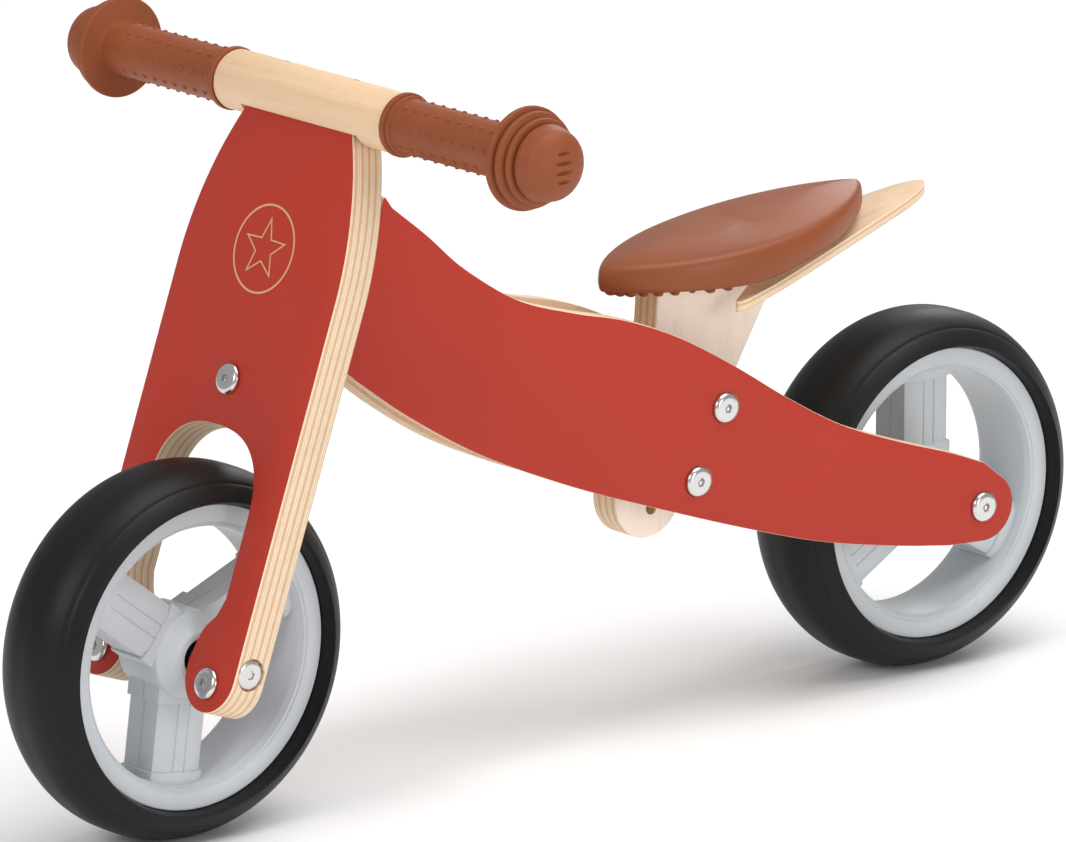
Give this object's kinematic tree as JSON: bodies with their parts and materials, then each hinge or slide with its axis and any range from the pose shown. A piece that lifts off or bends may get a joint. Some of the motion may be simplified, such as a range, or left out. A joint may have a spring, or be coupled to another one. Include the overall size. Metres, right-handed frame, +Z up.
{
  "type": "balance bike",
  "caption": "Small wooden balance bike with a leaning plywood fork board, V-shaped plywood frame, moulded wheels, padded saddle and rubber grips.",
  "frame": {"origin": "on the ground, midway between the two axles, in the middle plane", "axes": "+X forward, +Y to the rider's left, +Z up"},
  "size_m": [0.6234, 0.346, 0.353],
  "materials": {
    "red_paint": "satin paint over birch plywood",
    "birch": "clear-lacquered birch",
    "brown_rubber": "matt moulded rubber",
    "brown_leather": "soft leatherette",
    "black_foam": "satin closed-cell foam",
    "grey_plastic": "satin moulded plastic",
    "black_nylon": "moulded nylon",
    "nickel_plate": "bright nickel plate",
    "zinc_plate": "zinc plate"
  },
  "bodies": {
    "frame": {"left_side_panel": "red_paint", "right_side_panel": "red_paint", "head_wedge": "birch", "seat_board": "birch", "seat_spacer_upper_left": "birch", "seat_spacer_upper_right": "birch", "seat_spacer_lower_left": "birch", "seat_spacer_lower_right": "birch", "saddle_base": "birch", "tail_plate": "birch", "saddle_cushion": "brown_leather", "rear_spacer_left": "black_nylon", "rear_spacer_right": "black_nylon", "rear_axle_bolt_left": "nickel_plate", "rear_axle_bolt_right": "nickel_plate", "seat_bolt_upper": "nickel_plate", "seat_bolt_lower": "nickel_plate", "seat_nut_upper": "nickel_plate", "seat_nut_lower": "nickel_plate", "rear_axle": "zinc_plate", "head_tube": "zinc_plate", "head_pin_lower": "zinc_plate", "head_pin_upper": "zinc_plate", "saddle_screw_front": "zinc_plate", "saddle_screw_rear": "zinc_plate"},
    "fork": {"fork_board": "red_paint", "handlebar": "birch", "grip_left": "brown_rubber", "grip_right": "brown_rubber", "bar_screw_left": "zinc_plate", "bar_screw_right": "zinc_plate", "steering_bracket": "zinc_plate", "bracket_screw_left": "zinc_plate", "bracket_screw_right": "zinc_plate", "centre_bolt": "nickel_plate", "centre_nut": "zinc_plate", "steering_pin": "zinc_plate", "steering_nut": "zinc_plate", "thrust_washer_lower": "black_nylon", "thrust_washer_upper": "black_nylon", "leg_bolt_left": "nickel_plate", "leg_bolt_right": "nickel_plate", "leg_nut_left": "nickel_plate", "leg_nut_right": "nickel_plate", "front_axle": "zinc_plate", "front_axle_bolt_left": "nickel_plate", "front_axle_bolt_right": "nickel_plate", "front_spacer_left": "black_nylon", "front_spacer_right": "black_nylon"},
    "front_wheel": {"front_tyre": "black_foam", "front_rim": "grey_plastic", "front_bush_left": "black_nylon", "front_bush_right": "black_nylon"},
    "rear_wheel": {"rear_tyre": "black_foam", "rear_rim": "grey_plastic", "rear_bush_left": "black_nylon", "rear_bush_right": "black_nylon"}
  },
  "joints": [
    {"name": "steering", "type": "hinge", "parent": "frame", "child": "fork", "pos_m": [0.13521, 0, 0.25001], "axis": [-0.3371, 0, 0.9415], "range_deg": [-30, 30]},
    {"name": "front_wheel_spin", "type": "hinge", "parent": "fork", "child": "front_wheel", "pos_m": [0.2242, 0, 0.0875], "axis": [0, 1, 0], "continuous": true},
    {"name": "rear_wheel_spin", "type": "hinge", "parent": "frame", "child": "rear_wheel", "pos_m": [-0.2242, 0, 0.0875], "axis": [0, 1, 0], "continuous": true}
  ]
}
